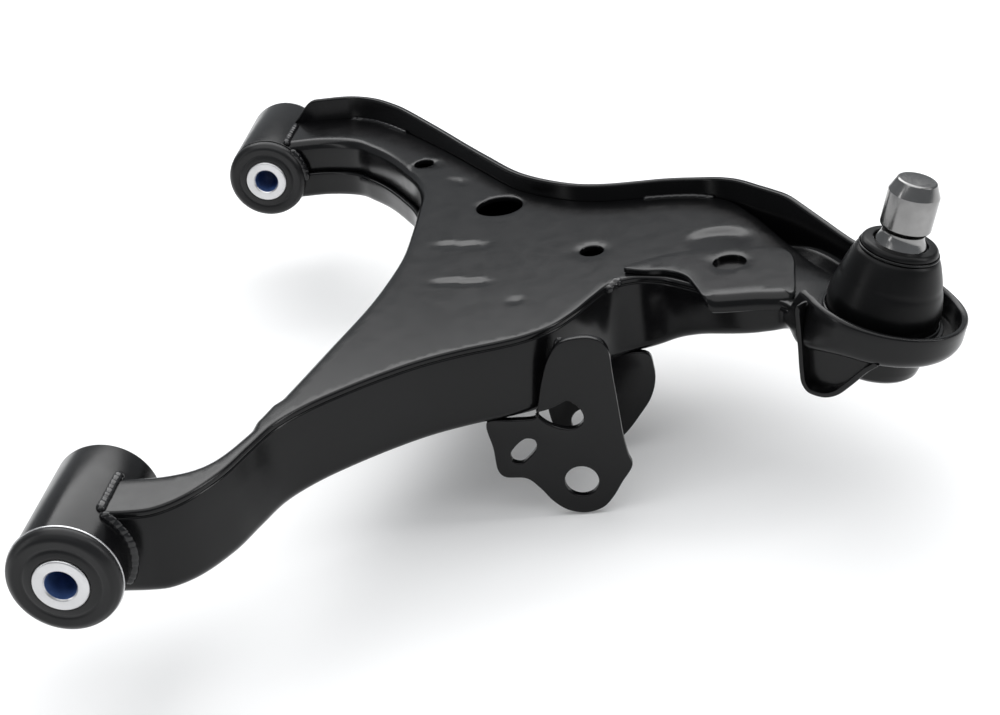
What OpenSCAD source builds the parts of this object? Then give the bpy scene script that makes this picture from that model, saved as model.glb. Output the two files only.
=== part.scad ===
// Front lower control arm: two stamped shells boxed together, a bush in each leg,
// a two-lug damper bracket, a saddle plate, a steering stop and a ball joint.
// Millimetres. Origin: centre of the front bush bore. +Y runs along the bush axis
// to the rear bush, +X runs outboard to the ball joint, +Z is up.

/* [Bushes] */
// Distance between the two bush centres
bush_gap = 440; // [400:1:480]
// Crush tube outside diameter
tube_od = 25.4; // [20:0.1:32]
// Crush tube bore, for an M14 bolt
bore_d = 14.2; // [10.2:0.1:18.2]
// Crush tube length
tube_len = 84; // [70:1:100]
// Front bush barrel radius
front_r = 25; // [22:0.1:30]
// Rear bush barrel radius
rear_r = 24.5; // [22:0.1:30]
// Barrel length
barrel_len = 68; // [55:1:80]
// Barrel wall
barrel_wall = 3.5; // [2:0.1:5]

/* [Shells] */
// Lower shell sheet thickness
t_low = 3.5; // [2:0.1:5]
// Upper plate sheet thickness
t_up = 3; // [2:0.1:5]
// Height of the upper plate's top face
deck_z = 20; // [14:0.5:26]
// Height of the lower shell's underside
floor_z = -24; // [-34:0.5:-16]
// Rise of the floor in the rear leg
rear_rise = 7; // [0:0.5:12]
// Height where the inner walls of the two shells lap
lap_z = 0; // [-6:0.5:8]

/* [Ball joint] */
// Ball centre, outboard of the bush axis
ball_x = 356.7; // [330:0.1:380]
// Ball centre, rearward of the front bush
ball_y = 120.4; // [90:0.1:150]
// Ball centre height
ball_z = 9.3; // [0:0.1:20]
// Outboard lean of the socket and stud
lean = 16.25; // [0:0.25:25]
// Ball radius
ball_r = 16; // [12:0.1:19]
// Clamped pin radius
pin_r = 12; // [9:0.1:13]
// Radius of the shell's rounded nose
nose_r = 39.5; // [36:0.5:46]
// Running clearance of every moving fit
fit = 0.05; // [0.02:0.01:0.09]

/* [Damper bracket] */
// Front face of the front lug
lug_y = 113; // [105:0.5:120]
// Clear width between the two lugs
lug_gap = 54; // [45:0.5:56]
// Lug thickness
lug_t = 4; // [3:0.5:6]
// Damper bolt hole radius
lug_hole_r = 8.5; // [6:0.1:10]
// Damper bolt hole, outboard position
lug_hole_x = 208; // [200:0.5:214]
// Damper bolt hole height
lug_hole_z = -61.8; // [-68:0.1:-56]

/* [Hidden] */
$fn = 72;
e = 0.01;
ca = cos(lean);
sa = sin(lean);

// Height at x of the plane that crosses the socket axis k above the ball centre
function zk(x, k) = ball_z + (k - (x - ball_x) * sa) / ca;

steel_black = [0.10, 0.10, 0.11];
zinc = [0.80, 0.81, 0.82];
rubber = [0.05, 0.05, 0.05];

// Outline of the boxed arm seen from above, nose circle left out
near_edge = [[4, -17], [28, -18], [38, -17], [50, -9], [63, 10], [71, 30], [79, 49], [91, 64],
  [106, 77], [124, 90], [141, 100], [160, 107.5], [178, 112.5], [190, 117], [202, 125],
  [212, 138], [221, 154], [229, 166], [240, 171], [254, 168], [266, 160], [280, 149],
  [296, 138], [311, 127], [321, 115], [333, 96]];
nose_join = [[350, 104], [372, 140]];
far_edge = [[368, 158], [352, 177], [336, 201], [322, 222], [307, 242], [293, 260],
  [275, 271], [258, 274], [225, 274.5], [209, 278], [192, 287], [174, 302], [153, 331],
  [132, 362], [110, 392], [88, 420], [70, 438], [52, 447], [34, 448], [4, 448]];
inner_edge = [[4, 404], [36, 404], [57, 397], [68, 386], [81, 370], [96, 345], [104, 329],
  [110, 308], [111, 286], [110.5, 225], [100, 166], [87, 122], [75, 82], [63, 45],
  [50, 22], [37, 17], [4, 17]];

module outline() {
  offset(r = 5) offset(r = -10) offset(r = 5)
    polygon(concat(near_edge, nose_join, far_edge, inner_edge));
}

// Areas above the front wall and above the inner walls
module near_band() {
  polygon([[-5, -40], [70, -40], [110, 50], [220, 100], [317, 80], [317, 134], [280, 166],
    [240, 186], [214, 162], [190, 130], [105, 96], [84, 76], [66, 45], [55, 18], [38, 0],
    [-5, 0]]);
}
module inner_band() {
  polygon([[-5, 5], [38, 5], [53, 14], [72, 46], [92, 100], [118, 180], [124, 250],
    [124, 300], [112, 345], [92, 378], [72, 404], [56, 414], [-5, 418]]);
}

module side_view(pts) {
  translate([0, 520, 0]) rotate([90, 0, 0]) linear_extrude(600) polygon(pts);
}
module end_view(pts) {
  translate([-20, 0, 0]) rotate([90, 0, 90]) linear_extrude(460) polygon(pts);
}
module in_socket() {
  translate([ball_x, ball_y, ball_z]) rotate([0, lean, 0]) children();
}
module along_y(y) {
  translate([0, y, 0]) rotate([-90, 0, 0]) children();
}
module barrels() {
  along_y(-60) cylinder(r = front_r, h = 120);
  along_y(bush_gap - 60) cylinder(r = rear_r, h = 120);
}

module shell_body(inset, up) {
  intersection() {
    translate([0, 0, -60]) linear_extrude(120) offset(delta = -inset) outline();
    side_view([[10, floor_z + up], [245, floor_z + up], [275, floor_z + 15 + up],
      [312, floor_z + 25 + up], [332, zk(332, -4) + up], [420, zk(420, -4) + up],
      [420, zk(420, 12.6) + up * 20], [352, zk(352, 12.6) + up * 20], [324, 35.2 + up * 20], [300, 33 + up * 20],
      [275, 29.4 + up * 20], [210, 29 + up * 20], [175, 29.4 + up * 20],
      [135, 30 + up * 20], [90, 34.2 + up * 20], [22 - up * 9, 34.2 + up * 20],
      [22 - up * 9, 26], [14 - up * 9, 20], [10 - up * 9, 0]]);
    end_view([[-60, floor_z + up], [270, floor_z + up], [340, floor_z + rear_rise + up],
      [520, floor_z + rear_rise + up], [520, 200], [-60, 200]]);
  }
}

// Lower shell: floor, front wall, tall rear rim and the cup round the ball joint
module lower_shell() {
  color(steel_black)
    difference() {
      union() {
        shell_body(0, 0);
        in_socket() translate([0, 0, -4.4]) cylinder(r = nose_r, h = 17.4);
      }
      shell_body(t_low, t_low);
      in_socket() translate([0, 0, -0.9]) cylinder(r = nose_r - t_low, h = 30);
      translate([0, 0, deck_z - t_up]) linear_extrude(60) near_band();
      translate([0, 0, lap_z]) linear_extrude(60) inner_band();
      in_socket() translate([0, 0, -10]) cylinder(r = 24.1, h = 20);
      barrels();
    }
}

module deck_band(low, high) {
  side_view([[5, deck_z - low], [zx(low), deck_z - low], [420, zk(420, 2 - low)],
    [420, zk(420, 2 - high)], [zx(high), deck_z - high], [5, deck_z - high]]);
}
// Where the level deck meets the leaning seat, d below their top faces
function zx(d) = ball_x + (2 - d - (deck_z - d - ball_z) * ca) / sa;

// Upper plate: level deck, leaning ball-joint seat, turned-down inner flange
module upper_plate() {
  color(steel_black)
    difference() {
      union() {
        intersection() {
          translate([0, 0, -60]) linear_extrude(120) {
            offset(delta = -t_low) outline();
            intersection() {
              outline();
              near_band();
            }
          }
          deck_band(0, t_up);
        }
        intersection() {
          in_socket() translate([0, 0, -1]) cylinder(r = nose_r - t_low, h = 3);
          translate([328, 0, -60]) cube([120, 300, 120]);
        }
        translate([0, 0, lap_z - 8]) linear_extrude(deck_z - 1 - lap_z + 8)
          intersection() {
            difference() {
              offset(delta = -t_low) outline();
              offset(delta = -t_low - t_up) outline();
            }
            inner_band();
          }
      }
      in_socket() translate([0, 0, -10]) cylinder(r = 24.1, h = 20);
      barrels();
      translate([-50, -80, -60]) cube([62, 600, 120]);
      translate([163, 277.3, 0]) cylinder(r = 12.9, h = 40);
      translate([217.9, 207.9, 0]) cylinder(r = 6.2, h = 40);
      translate([110.5, 353, 0]) cylinder(r = 5.6, h = 40);
      translate([0, 0, -20]) linear_extrude(60) polygon([[302, 250], [312, 223], [322, 199],
        [329, 184], [335, 173], [342, 164], [350, 160], [370, 166], [352, 190], [310, 262]]);
      translate([283, 207, deck_z + 73.4]) rotate([90, 0, 0]) sphere(r = 75);
    }
}

// Saddle plate over the front edge, with its short turned-down lip
module saddle_plate() {
  color(steel_black)
    difference() {
      union() {
        translate([0, 0, deck_z]) linear_extrude(3) saddle_outline();
        translate([0, 0, deck_z - 5])
          linear_extrude(8) intersection() {
            saddle_outline();
            translate([276, 120]) square([42, 16.5]);
          }
      }
      translate([0, 0, deck_z - 9]) linear_extrude(9) offset(delta = 0.05) outline();
      translate([289, 173, 0]) cylinder(r = 8.2, h = 40);
    }
}
module saddle_outline() {
  offset(r = 2.5) offset(r = -2.5)
    polygon([[236, 177], [246, 172], [258, 170], [267, 163], [273, 148], [276, 137],
      [280, 133], [318, 133], [320, 140], [321, 172], [318, 182], [307, 188.5],
      [290, 190], [270, 191], [255, 188], [245, 183.5]]);
}

module barrel(r, y) {
  color(steel_black) along_y(y - barrel_len / 2) difference() {
    cylinder(r = r, h = barrel_len);
    translate([0, 0, -1]) cylinder(r = r - barrel_wall, h = barrel_len + 2);
  }
}
module front_barrel() {
  barrel(front_r, 0);
}
module rear_barrel() {
  barrel(rear_r, bush_gap);
}

// Pressed-in bush sleeve; the front one has a flange outside its barrel
module front_bush_sleeve() {
  color(zinc) along_y(-barrel_len / 2 - 1.1) difference() {
    union() {
      cylinder(r = front_r - barrel_wall, h = barrel_len + 1.1);
      cylinder(r = front_r + 1, h = 1.1);
    }
    translate([0, 0, -1]) cylinder(r = front_r - barrel_wall - 1.6, h = barrel_len + 4);
  }
}
module rear_bush_sleeve() {
  color(zinc) along_y(bush_gap - barrel_len / 2 + 1) difference() {
    union() {
      cylinder(r = rear_r - barrel_wall, h = barrel_len + 1);
      translate([0, 0, barrel_len - 1]) cylinder(r = rear_r - 0.6, h = 2);
    }
    translate([0, 0, -1]) cylinder(r = rear_r - barrel_wall - 1.6, h = barrel_len + 4);
  }
}

// Rubber bonded between sleeve and crush tube, with a thrust collar at its front end
module bush_rubber(r, y, collar) {
  color(rubber) along_y(y) rotate_extrude() polygon([[tube_od / 2 + fit, -41],
    [collar - 3.4, -41], [collar - 2.2, -40.3], [collar - 0.6, -38.6], [collar, -37],
    [collar, -35.1], [r - barrel_wall - 1.6, -35.1], [r - barrel_wall - 1.6, 33],
    [r - barrel_wall - 5, 31], [tube_od / 2 + 3, 36], [tube_od / 2 + fit, 36]]);
}
module front_bush_rubber() {
  bush_rubber(front_r, 0, front_r + 0.6);
}
module rear_bush_rubber() {
  color(rubber) along_y(bush_gap) rotate_extrude() polygon([[tube_od / 2 + fit, -41],
    [rear_r - 3.6, -41], [rear_r - 2.2, -40.2], [rear_r - 0.6, -38.4], [rear_r - 0.1, -36.6],
    [rear_r - 0.1, -34.6], [rear_r - barrel_wall - 0.1, -34.6],
    [rear_r - barrel_wall - 0.1, -33], [rear_r - barrel_wall - 1.6, -33],
    [rear_r - barrel_wall - 1.6, 34], [rear_r - barrel_wall - 5, 32],
    [tube_od / 2 + 3, 37], [tube_od / 2 + fit, 37]]);
}

// Crush tube that the mounting bolt clamps
module crush_tube(y) {
  color(zinc) along_y(y - tube_len / 2) difference() {
    cylinder(d = tube_od, h = tube_len);
    translate([0, 0, -1]) cylinder(d = bore_d, h = tube_len + 2);
  }
}
module front_crush_tube() {
  crush_tube(0);
}
module rear_crush_tube() {
  crush_tube(bush_gap);
}

module lug_hole() {
  translate([lug_hole_x, lug_hole_z]) circle(r = lug_hole_r);
}
module lug_plate(y) {
  translate([0, y + lug_t, 0]) rotate([90, 0, 0]) linear_extrude(lug_t) children();
}

// Front lug: bolt ear, brake-hose slot, scalloped window and an upright tab
module damper_front_lug() {
  color(steel_black) difference() {
    lug_plate(lug_y) difference() {
      offset(r = 3) offset(r = -3)
        polygon([[164.5, -20], [168, -57], [181, -58.5], [191, -71], [199, -78.5],
          [208, -81], [217, -78.5], [223, -73], [235, -53.5], [231.5, -45], [229, 6],
          [227.5, 13], [222, 17.8], [211, 18], [205, 15], [196, 2], [192, -20]]);
      lug_hole();
      translate([179, -44.2]) circle(r = 4.5);
      translate([183.2, -39.8]) circle(r = 4.5);
      translate([181.1, -42]) rotate(46) square([6.1, 9], center = true);
      offset(r = 1.5) offset(r = -1.5)
        polygon([[188, -23], [196, -29], [203, -32.5], [210, -31.5], [214, -27.5],
          [213, -22], [208, -16], [200, -19]]);
    }
    translate([0, 0, -60]) linear_extrude(120) outline_above_floor();
    translate([140, 100, floor_z]) cube([47, 30, 40]);
  }
}
module outline_above_floor() {
  intersection() {
    outline();
    translate([100, 60]) square([90, 90]);
  }
}

// Rear lug under the floor, with a broad outboard shoulder
module damper_rear_lug() {
  color(steel_black) lug_plate(lug_y + lug_t + lug_gap) difference() {
    offset(r = 3) offset(r = -3)
      polygon([[186, floor_z], [188, -52], [190, -66], [197, -76], [208, -80],
        [220, -77], [228, -70], [237, -59], [243, -50], [246.5, -40], [246, -31],
        [243, floor_z]]);
    lug_hole();
  }
}

// Steering stop: pressed dish under the nose with a turned edge on three sides
module steering_stop() {
  color(steel_black) difference() {
    translate([318, 104, 0]) rotate([0, 0, -32.7]) {
      translate([0, 8, 0]) rotate([90, 0, 0]) difference() {
        linear_extrude(8) stop_outline();
        translate([0, 0, 2.6]) linear_extrude(8) offset(delta = -2.6) stop_outline();
        translate([2.6, -6, 2.6]) cube([38, 24, 8]);
      }
    }
    in_socket() translate([0, 0, -4.4]) cylinder(r = nose_r, h = 30);
    in_socket() translate([0, 0, -22]) cylinder(r = 24.6, h = 24);
    translate([0, 0, -60]) linear_extrude(120) intersection() {
      outline();
      translate([300, 90]) square([60, 60]);
    }
  }
}
module stop_outline() {
  offset(r = 3) offset(r = -3)
    polygon([[0, 31], [0, -9], [3, -15.5], [13, -16], [19, -13.5], [26, -7], [36, 2.5],
      [42, 8], [42, 12], [6, 14], [5, 31]]);
}

module socket_turn(pts) {
  in_socket() rotate_extrude() polygon(pts);
}

// Ball-joint housing: flange on the seat, boot neck above, rolled edge below
module ball_housing() {
  color(steel_black) socket_turn([[18.55, -19.2], [18.55, 7.6], [15.4, 7.6], [17.2, 9.4],
    [21.2, 9.4], [22, 8.6], [22, 5], [30, 5], [30, 2], [24, 2], [24, -18], [22, -20.6],
    [17, -20.6], [17, -19.2]]);
}
module housing_cover() {
  color(steel_black) socket_turn([[0, -18], [10, -18], [12, -19.2], [18.5, -19.2],
    [18.5, -16.8], [0, -16.8]]);
}
module preload_disc() {
  color(zinc) in_socket() difference() {
    translate([0, 0, -16.8]) cylinder(r = 18.4, h = 2.4);
    sphere(r = ball_r + 0.06);
  }
}
// Plastic liner that the ball turns in
module bearing_liner() {
  color([0.85, 0.84, 0.78]) in_socket() difference() {
    translate([0, 0, -14]) cylinder(r = 18.55 - fit, h = 21.3);
    sphere(r = ball_r + fit);
    translate([0, 0, 5]) cylinder(r1 = 14.6, r2 = 16.2, h = 3);
  }
}

// Stud: ball, shank, boot collar, clamp groove and plain pin with a chamfer
module ball_stud() {
  color(zinc) in_socket() {
    sphere(r = ball_r);
    rotate_extrude() polygon([[0, 8], [8, 8], [8, 29], [14.6, 36.4], [15.5, 37.6],
      [15.5, 42.2], [12.4, 42.4], [10.3, 46.4], [10, 47.6], [10, 49.4], [12, 51.4],
      [pin_r, 68], [9.1, 74.3], [0, 74.3]]);
  }
}
module boot_slip_ring() {
  color(steel_black) socket_turn([[15.5 + fit, 38], [16.6, 38], [16.6, 42.2],
    [15.5 + fit, 42.2]]);
}
module boot_garter_ring() {
  color(steel_black) in_socket() translate([0, 0, 39.6]) rotate_extrude()
    translate([18.5, 0]) circle(r = 0.6, $fn = 24);
}
module boot_base_ring() {
  color(steel_black) in_socket() translate([0, 0, 5.8]) rotate_extrude()
    translate([27.35, 0]) circle(r = 0.8, $fn = 24);
}
// Rubber dust boot between the housing neck and the stud's collar
module dust_boot() {
  color(rubber) socket_turn([[22.05, 5.1], [26, 5.1], [26.5, 5.8], [26.5, 8.2],
    [26.9, 9.4], [26.8, 14], [25.6, 20], [23.9, 26.4], [22, 32.4], [20.4, 36.6],
    [19, 38.5], [17.9, 39], [17.9, 40.2], [18.3, 40.6], [18, 42.2], [17, 43.2],
    [13.1, 43.6], [12.9, 42.7], [16.6, 42.6], [16.6, 38], [17.6, 37], [19.4, 33.4], [20.8, 29], [22.3, 24],
    [23.7, 18.4], [24.6, 14], [24.5, 10.8], [23.8, 9.3], [22.05, 8.5]]);
}

// A short run of weld laid from a to b
module bead(a, b, r) {
  v = b - a;
  n = norm(v);
  translate(a) rotate([0, acos(v[2] / n), atan2(v[1], v[0])])
    rotate_extrude($fn = 24) polygon([[0, -r], [r * 0.6, -r * 0.8], [r, 0], [r, n],
      [r * 0.6, n + r * 0.8], [0, n + r]]);
}

// Weld beads round the coped ends of the two legs
module front_bush_weld() {
  color(steel_black) {
    bead([16.6, -15, 20], [16.6, 13, 20], 2.4);
    for (i = [0:4])
      rotate([0, 38 + i * 9, 0]) translate([0, -18.6, front_r]) sphere(r = 3.3, $fn = 24);
  }
}
module rear_bush_weld() {
  color(steel_black) {
    bead([17, 414, 18.5], [17, 444, 18.5], 2.4);
    for (i = [0:4])
      rotate([0, 46 + i * 10, 0]) translate([0, 410, rear_r]) sphere(r = 3.3, $fn = 24);
  }
}
module lug_weld() {
  color(steel_black) bead([201, 118.5, 4], [205.5, 119.5, 15], 2.6);
}
module saddle_weld() {
  color(steel_black) bead([228.5, 165.5, 17], [234, 172, 19], 2.8);
}
module stop_weld() {
  color(steel_black) bead([327.1, 103.4, 12.2], [344, 92.6, 7.6], 1.8);
}

lower_shell();
upper_plate();
saddle_plate();
front_barrel();
rear_barrel();
front_bush_sleeve();
rear_bush_sleeve();
front_bush_rubber();
rear_bush_rubber();
front_crush_tube();
rear_crush_tube();
damper_front_lug();
damper_rear_lug();
steering_stop();
ball_housing();
housing_cover();
preload_disc();
bearing_liner();
ball_stud();
boot_slip_ring();
boot_garter_ring();
boot_base_ring();
dust_boot();
front_bush_weld();
rear_bush_weld();
lug_weld();
saddle_weld();
stop_weld();
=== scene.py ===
import math
import bpy
import bmesh
import numpy as np
from mathutils import Matrix, Vector
from mathutils.geometry import delaunay_2d_cdt


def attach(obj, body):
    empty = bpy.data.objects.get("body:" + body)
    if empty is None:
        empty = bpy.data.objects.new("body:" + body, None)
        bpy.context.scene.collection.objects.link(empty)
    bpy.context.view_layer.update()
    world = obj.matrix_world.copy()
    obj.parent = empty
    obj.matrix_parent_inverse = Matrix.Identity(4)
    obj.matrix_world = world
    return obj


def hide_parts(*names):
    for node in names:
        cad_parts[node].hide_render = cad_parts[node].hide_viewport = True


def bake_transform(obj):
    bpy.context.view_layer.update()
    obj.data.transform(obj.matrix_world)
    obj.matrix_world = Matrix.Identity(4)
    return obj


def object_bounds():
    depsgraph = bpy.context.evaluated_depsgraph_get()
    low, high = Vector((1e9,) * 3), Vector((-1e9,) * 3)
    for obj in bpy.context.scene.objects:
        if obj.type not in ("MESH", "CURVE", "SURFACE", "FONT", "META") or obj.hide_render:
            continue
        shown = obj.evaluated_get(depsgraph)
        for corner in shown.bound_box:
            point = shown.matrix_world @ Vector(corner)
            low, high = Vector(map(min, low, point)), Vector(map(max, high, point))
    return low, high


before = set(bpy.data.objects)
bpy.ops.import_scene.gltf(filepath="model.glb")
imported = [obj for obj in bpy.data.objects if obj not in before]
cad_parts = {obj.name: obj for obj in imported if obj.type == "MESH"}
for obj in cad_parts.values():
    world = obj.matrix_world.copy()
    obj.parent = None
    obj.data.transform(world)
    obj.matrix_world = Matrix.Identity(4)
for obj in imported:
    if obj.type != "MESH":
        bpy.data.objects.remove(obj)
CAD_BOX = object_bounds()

MM = 0.001
LEAN = math.radians(16.25)
SA, CA, TA = math.sin(LEAN), math.cos(LEAN), math.tan(LEAN)
BALL = np.array([356.7, 120.4, 9.3])
AXIS = np.array([SA, 0.0, CA])
REAR_Y = 440.0

# ---------------------------------------------------------------- camera
scene = bpy.context.scene
cam_data = bpy.data.cameras.new("camera")
cam = bpy.data.objects.new("camera", cam_data)
scene.collection.objects.link(cam)
cam_data.sensor_width = 36.0
cam_data.lens = 67.13
cam_data.clip_start = 0.05
cam_data.clip_end = 50.0
cam.rotation_mode = "QUATERNION"
rot = Matrix(((0.9865, 0.0796, 0.1432), (0.0890, 0.4732, -0.8764), (-0.1376, 0.8773, 0.4597)))
cam.rotation_quaternion = rot.to_quaternion()
cam.location = (0.3054, -0.6732, 0.4236)
scene.camera = cam


# ---------------------------------------------------------------- node materials
def mat(name):
    m = bpy.data.materials.new(name)
    m.use_nodes = True
    nt = m.node_tree
    nt.nodes.clear()
    out = nt.nodes.new("ShaderNodeOutputMaterial")
    bsdf = nt.nodes.new("ShaderNodeBsdfPrincipled")
    nt.links.new(bsdf.outputs[0], out.inputs[0])
    return m, nt, bsdf


def node(nt, kind, **sockets):
    n = nt.nodes.new(kind)
    for k, v in sockets.items():
        n.inputs[k.replace("_", " ")].default_value = v
    return n


def coords(nt, scale=(1, 1, 1)):
    t = nt.nodes.new("ShaderNodeTexCoord")
    m = nt.nodes.new("ShaderNodeMapping")
    m.inputs["Scale"].default_value = scale
    nt.links.new(t.outputs["Object"], m.inputs["Vector"])
    return m.outputs["Vector"]


def noise(nt, vec, scale, detail=4.0, rough=0.55):
    n = node(nt, "ShaderNodeTexNoise", Scale=scale, Detail=detail, Roughness=rough)
    nt.links.new(vec, n.inputs["Vector"])
    return n.outputs["Fac"]


def ramp(nt, fac, a, b, lo=0.3, hi=0.7):
    r = nt.nodes.new("ShaderNodeValToRGB")
    r.color_ramp.elements[0].position = lo
    r.color_ramp.elements[1].position = hi
    r.color_ramp.elements[0].color = a
    r.color_ramp.elements[1].color = b
    nt.links.new(fac, r.inputs["Fac"])
    return r.outputs["Color"]


def span(nt, fac, lo, hi, a=0.3, b=0.7):
    r = node(nt, "ShaderNodeMapRange")
    r.inputs["From Min"].default_value = a
    r.inputs["From Max"].default_value = b
    r.inputs["To Min"].default_value = lo
    r.inputs["To Max"].default_value = hi
    nt.links.new(fac, r.inputs["Value"])
    return r.outputs["Result"]


def bumps(nt, bsdf, layers):
    last = None
    for fac, strength, dist in layers:
        b = node(nt, "ShaderNodeBump", Strength=strength, Distance=dist)
        nt.links.new(fac, b.inputs["Height"])
        if last is not None:
            nt.links.new(last, b.inputs["Normal"])
        last = b.outputs["Normal"]
    nt.links.new(last, bsdf.inputs["Normal"])


def paint(name, lo=0.0018, hi=0.004, r_lo=0.19, r_hi=0.24, peel=0.04, ior=1.335):
    m, nt, bsdf = mat(name)
    v = coords(nt)
    big = noise(nt, v, 9.0, 3.0)
    mid = noise(nt, v, 120.0, 5.0)
    fine = noise(nt, v, 900.0, 2.0)
    nt.links.new(ramp(nt, big, (lo, lo, lo * 1.1, 1), (hi, hi, hi * 1.12, 1)),
                 bsdf.inputs["Base Color"])
    nt.links.new(span(nt, mid, r_lo, r_hi), bsdf.inputs["Roughness"])
    bsdf.inputs["IOR"].default_value = ior
    bumps(nt, bsdf, [(mid, peel * 0.08, 0.0006), (fine, peel, 0.0001)])
    return m


def rubber(name, lo, hi, rough, grain=0.12, spec=0.4):
    m, nt, bsdf = mat(name)
    v = coords(nt)
    big = noise(nt, v, 40.0, 4.0)
    fine = noise(nt, v, 1400.0, 2.0)
    nt.links.new(ramp(nt, big, (lo, lo, lo * 1.08, 1), (hi, hi, hi * 1.08, 1)),
                 bsdf.inputs["Base Color"])
    nt.links.new(span(nt, big, rough - 0.05, rough + 0.07), bsdf.inputs["Roughness"])
    bsdf.inputs["Specular IOR Level"].default_value = spec
    bumps(nt, bsdf, [(big, 0.06, 0.0006), (fine, grain, 0.0001)])
    return m


def metal(name, lo, hi, r_lo, r_hi, tint=(1, 1, 1), scale=(1, 1, 1), grain=0.08,
          freq=300.0, aniso=0.0):
    m, nt, bsdf = mat(name)
    v = coords(nt)
    w = coords(nt, scale)
    cloud = noise(nt, v, 60.0, 5.0)
    line = noise(nt, w, freq, 4.0, 0.6)
    nt.links.new(ramp(nt, cloud, (lo * tint[0], lo * tint[1], lo * tint[2], 1),
                      (hi * tint[0], hi * tint[1], hi * tint[2], 1)), bsdf.inputs["Base Color"])
    bsdf.inputs["Metallic"].default_value = 1.0
    nt.links.new(span(nt, line, r_lo, r_hi), bsdf.inputs["Roughness"])
    bsdf.inputs["Anisotropic"].default_value = aniso
    bumps(nt, bsdf, [(line, grain, 0.0002)])
    return m


M_PAINT = paint("black_paint")
M_WELD = paint("weld_bead", 0.004, 0.010, 0.10, 0.22, 0.20, 1.45)
M_ZINC = metal("zinc_plate", 0.56, 0.68, 0.30, 0.42, (1, 1, 1.01), (1, 1, 1), 0.10, 500.0)
# Bore of the crush tube: a bluish colour set far brighter than the tone seen inside it, as painted light, because
# little lamp light reaches into the bore.
M_BORE_TINT_PAINTED_LIGHT, _nt, _b = mat("tube_bore_painted_light")
_nt.links.new(ramp(_nt, noise(_nt, coords(_nt), 220.0), (0.06, 0.12, 0.30, 1), (0.10, 0.18, 0.42, 1)),
              _b.inputs["Base Color"])
_b.inputs["Metallic"].default_value = 0.3
_b.inputs["Roughness"].default_value = 0.42
M_STEEL = metal("machined_steel", 0.19, 0.30, 0.13, 0.22, (1, 0.99, 0.98), (1, 1, 9), 0.10, 420.0, 0.5)
M_SPRING = metal("spring_steel", 0.20, 0.30, 0.30, 0.45, (1, 1, 1), (1, 1, 6), 0.1, 400.0)
M_RUBBER = rubber("bush_rubber", 0.006, 0.010, 0.34, 0.10, 0.3)
M_BOOT = rubber("boot_rubber", 0.002, 0.004, 0.33, 0.05, 0.16)
M_LINER = rubber("liner_plastic", 0.66, 0.74, 0.42, 0.05)


# ---------------------------------------------------------------- mesh helpers
def finish_mesh(name, verts, faces, material, body, angle=32.0, weld_mm=0.004):
    me = bpy.data.meshes.new(name)
    me.from_pydata([tuple(float(c) * MM for c in v) for v in verts], [], faces)
    bm = bmesh.new()
    bm.from_mesh(me)
    bmesh.ops.remove_doubles(bm, verts=bm.verts, dist=weld_mm * MM)
    bmesh.ops.dissolve_degenerate(bm, edges=bm.edges, dist=weld_mm * MM)
    bmesh.ops.recalc_face_normals(bm, faces=bm.faces)
    bm.to_mesh(me)
    bm.free()
    me.polygons.foreach_set("use_smooth", [True] * len(me.polygons))
    me.set_sharp_from_angle(angle=math.radians(angle))
    me.update()
    ob = bpy.data.objects.new(name, me)
    scene.collection.objects.link(ob)
    me.materials.append(material)
    if body:
        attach(ob, body)
    return ob


def spline(pts, step, closed=True):
    """Points spread evenly along a Catmull-Rom curve through pts."""
    p = np.array(pts, float)
    n = len(p)
    out = []
    for i in range(n if closed else n - 1):
        if closed:
            a, b, c, d = p[(i - 1) % n], p[i], p[(i + 1) % n], p[(i + 2) % n]
        else:
            b, c = p[i], p[i + 1]
            a = p[i - 1] if i else 2 * b - c
            d = p[i + 2] if i + 2 < n else 2 * c - b
        for t in np.linspace(0, 1, 12, endpoint=False):
            ta = np.linalg.norm(b - a) ** 0.5 + 1e-9
            tb = np.linalg.norm(c - b) ** 0.5 + 1e-9
            tc = np.linalg.norm(d - c) ** 0.5 + 1e-9
            m1 = (c - b) / tb - (c - a) / (ta + tb) + (b - a) / ta
            m2 = (d - c) / tc - (d - b) / (tb + tc) + (c - b) / tb
            m1, m2 = m1 * tb, m2 * tb
            h = t
            out.append((2 * h**3 - 3 * h**2 + 1) * b + (h**3 - 2 * h**2 + h) * m1
                       + (-2 * h**3 + 3 * h**2) * c + (h**3 - h**2) * m2)
    if not closed:
        out.append(p[-1])
    q = np.array(out)
    if closed:
        q = np.vstack([q, q[:1]])
    s = np.concatenate([[0], np.cumsum(np.linalg.norm(np.diff(q, axis=0), axis=1))])
    k = max(8, int(round(s[-1] / step)))
    u = np.linspace(0, s[-1], k + (0 if closed else 1), endpoint=not closed)
    return np.stack([np.interp(u, s, q[:, j]) for j in range(q.shape[1])], 1)


def inward(loop):
    t = np.roll(loop, -1, 0) - np.roll(loop, 1, 0)
    t /= np.linalg.norm(t, axis=1)[:, None] + 1e-12
    return np.stack([-t[:, 1], t[:, 0]], 1)


def area2(loop):
    x, y = loop[:, 0], loop[:, 1]
    return float(np.sum(x * np.roll(y, -1) - np.roll(x, -1) * y))


def inside(points, loop):
    x, y = points[:, 0], points[:, 1]
    hit = np.zeros(len(points), bool)
    a, b = loop, np.roll(loop, -1, 0)
    for (x1, y1), (x2, y2) in zip(a, b):
        if y1 == y2:
            continue
        c = (y1 > y) != (y2 > y)
        hit ^= c & (x < (x2 - x1) * (y - y1) / (y2 - y1) + x1)
    return hit


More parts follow.
